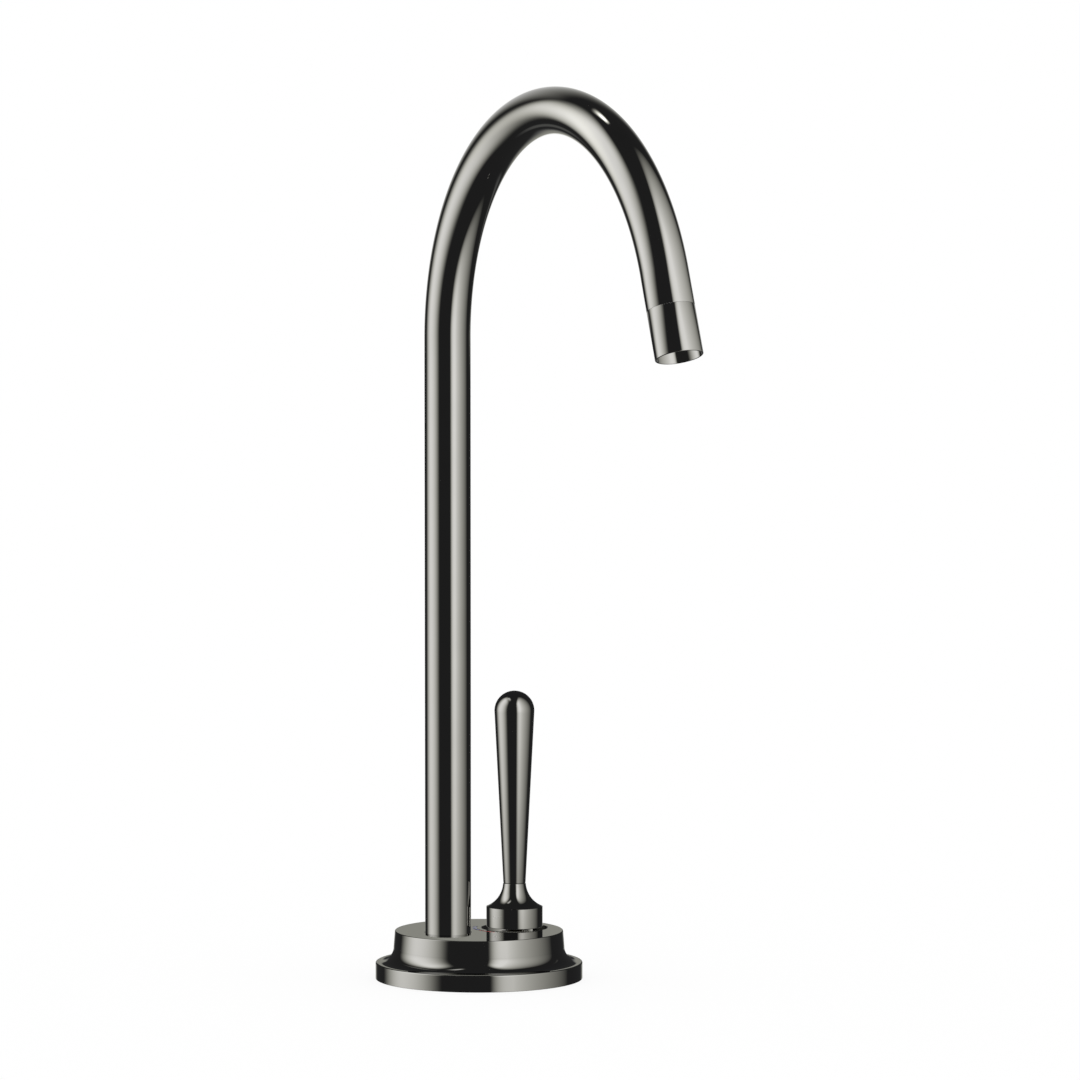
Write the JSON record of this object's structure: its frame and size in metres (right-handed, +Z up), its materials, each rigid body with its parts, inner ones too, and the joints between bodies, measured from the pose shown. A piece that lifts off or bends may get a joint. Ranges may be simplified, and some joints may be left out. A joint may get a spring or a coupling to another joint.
{
  "type": "kitchen mixer tap",
  "caption": "Swan-neck kitchen mixer tap with a swivel spout and a pin lever side by side on a stepped round base, worked by a ceramic disc cartridge in the threaded shank.",
  "frame": {"origin": "on the axis of the threaded shank, which is the lever's axis too, at the worktop's surface", "axes": "+Z up along the shank and the riser, -Y the way the spout reaches, +X from the spout's riser towards the lever"},
  "size_m": [0.083, 0.2329, 0.4089],
  "materials": {
    "black_chrome": "polished dark warm-grey plating",
    "brass": "cast and machined",
    "steel": "stainless, fine turned",
    "rubber": "matt black",
    "valve_plastic": "natural acetal, satin",
    "ceramic": "lapped alumina",
    "cold_enamel": "blue enamel fill",
    "hot_enamel": "red enamel fill"
  },
  "bodies": {
    "base": {"base_shell": "black_chrome", "deck_seal": "rubber", "cold_mark": "cold_enamel", "hot_mark": "hot_enamel", "shell_screws": "steel", "valve_body": "brass", "spout_bearing": "valve_plastic", "cartridge_base": "valve_plastic", "port_seals": "rubber", "fixed_disc": "ceramic", "cartridge_housing": "valve_plastic", "housing_seal": "rubber", "cartridge_nut": "brass", "clamp_gasket": "rubber", "clamp_washer": "steel", "fixing_nut": "brass", "clamp_screws": "steel"},
    "spout": {"spout_tube": "black_chrome", "spout_foot": "brass", "spout_foot_seal": "rubber", "spout_snap_ring": "steel", "outlet_nozzle": "black_chrome", "aerator_seal": "rubber", "aerator_housing": "valve_plastic", "aerator_screens": "steel"},
    "stem": {"rotor": "valve_plastic", "rotor_seal": "rubber", "pivot_pin": "steel", "spindle_seal": "rubber"},
    "lever": {"spindle": "brass", "lever_hub": "black_chrome", "lever_grip": "black_chrome", "lever_stud": "steel"},
    "disc": {"moving_disc": "ceramic", "disc_carrier": "valve_plastic"}
  },
  "joints": [
    {"name": "spout_swivel", "type": "hinge", "parent": "base", "child": "spout", "pos_m": [-0.0295, 0, 0.0156], "axis": [0, 0, 1], "continuous": true},
    {"name": "temperature_turn", "type": "hinge", "parent": "base", "child": "stem", "pos_m": [0, 0, 0.016], "axis": [0, 0, 1], "range_deg": [-40, 40]},
    {"name": "flow_tilt", "type": "hinge", "parent": "stem", "child": "lever", "pos_m": [0, 0, 0.016], "axis": [0, 1, 0], "range_deg": [0, 18]},
    {"name": "disc_slide", "type": "slide", "parent": "stem", "child": "disc", "axis": [-1, 0, 0], "range_m": [0, 0.0031]}
  ],
  "couplings": [
    {"joint": "disc_slide", "follows": "flow_tilt", "m_per_rad": 0.0098363}
  ]
}
